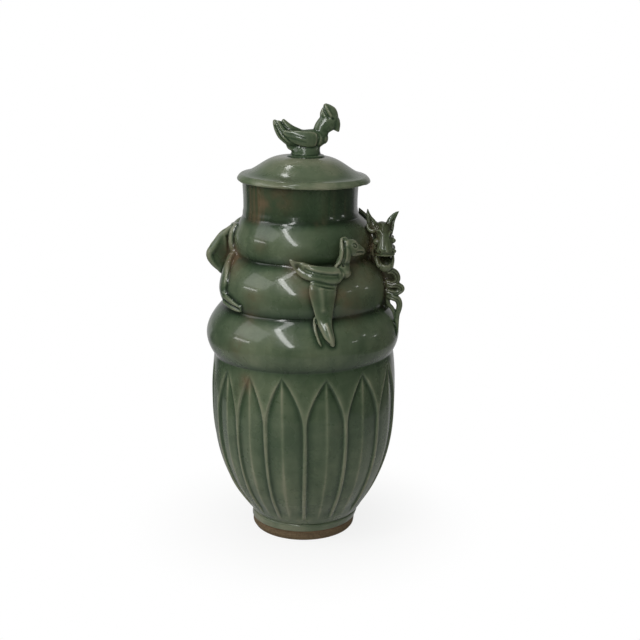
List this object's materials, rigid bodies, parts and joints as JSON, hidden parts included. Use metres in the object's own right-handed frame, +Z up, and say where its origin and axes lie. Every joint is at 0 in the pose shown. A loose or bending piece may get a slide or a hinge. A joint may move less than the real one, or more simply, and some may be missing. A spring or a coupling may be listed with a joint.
{
  "type": "lidded celadon jar",
  "caption": "Tall glazed jar with a carved petal bowl, stacked rolls, a modelled dragon and bird on the shoulder, and a lift-off lid with a bird knob.",
  "frame": {"origin": "on the jar's axis, at the level of the surface it stands on", "axes": "+Z up along the jar's axis; the side with the perched bird faces -Y, and the dragon's head is on the +X side"},
  "size_m": [0.1289, 0.125, 0.2797],
  "materials": {
    "celadon_glaze": "glossy dark green celadon, lighter where thin",
    "figure_glaze": "glossy dark green celadon pooled in the modelling",
    "lid_glaze": "glossy green celadon, a little paler",
    "bare_clay": "unglazed brown stoneware, matt"
  },
  "bodies": {
    "jar": {"foot_base": "bare_clay", "petal_bowl": "celadon_glaze", "lower_roll": "celadon_glaze", "middle_roll": "celadon_glaze", "upper_roll": "celadon_glaze", "neck_collar": "celadon_glaze", "dragon_trunk": "figure_glaze", "dragon_tail": "figure_glaze", "dragon_haunch": "figure_glaze", "dragon_hind_leg": "figure_glaze", "dragon_hind_paw": "figure_glaze", "dragon_far_fore_leg": "figure_glaze", "dragon_far_fore_paw": "figure_glaze", "dragon_far_hind_leg": "figure_glaze", "dragon_far_hind_paw": "figure_glaze", "dragon_head": "figure_glaze", "dragon_lower_jaw": "figure_glaze", "dragon_left_ear": "figure_glaze", "dragon_right_ear": "figure_glaze", "dragon_left_eye": "figure_glaze", "dragon_right_eye": "figure_glaze", "dragon_beard": "figure_glaze", "dragon_fin_1": "figure_glaze", "dragon_fin_2": "figure_glaze", "dragon_fin_3": "figure_glaze", "dragon_fin_4": "figure_glaze", "dragon_fin_5": "figure_glaze", "dragon_fin_6": "figure_glaze", "bird_perch": "figure_glaze", "shoulder_bird_body": "figure_glaze", "shoulder_bird_head": "figure_glaze", "shoulder_bird_wing": "figure_glaze"},
    "lid": {"lid_dome": "lid_glaze", "lid_flange": "bare_clay", "knob_stem": "lid_glaze", "knob_bird_body": "figure_glaze", "knob_bird_tail": "figure_glaze", "knob_bird_left_wing": "figure_glaze", "knob_bird_right_wing": "figure_glaze", "knob_bird_head": "figure_glaze"}
  },
  "joints": [
    {"name": "lid_lift", "type": "slide", "parent": "jar", "child": "lid", "axis": [0, 0, 1], "range_m": [0, 0.12]}
  ]
}
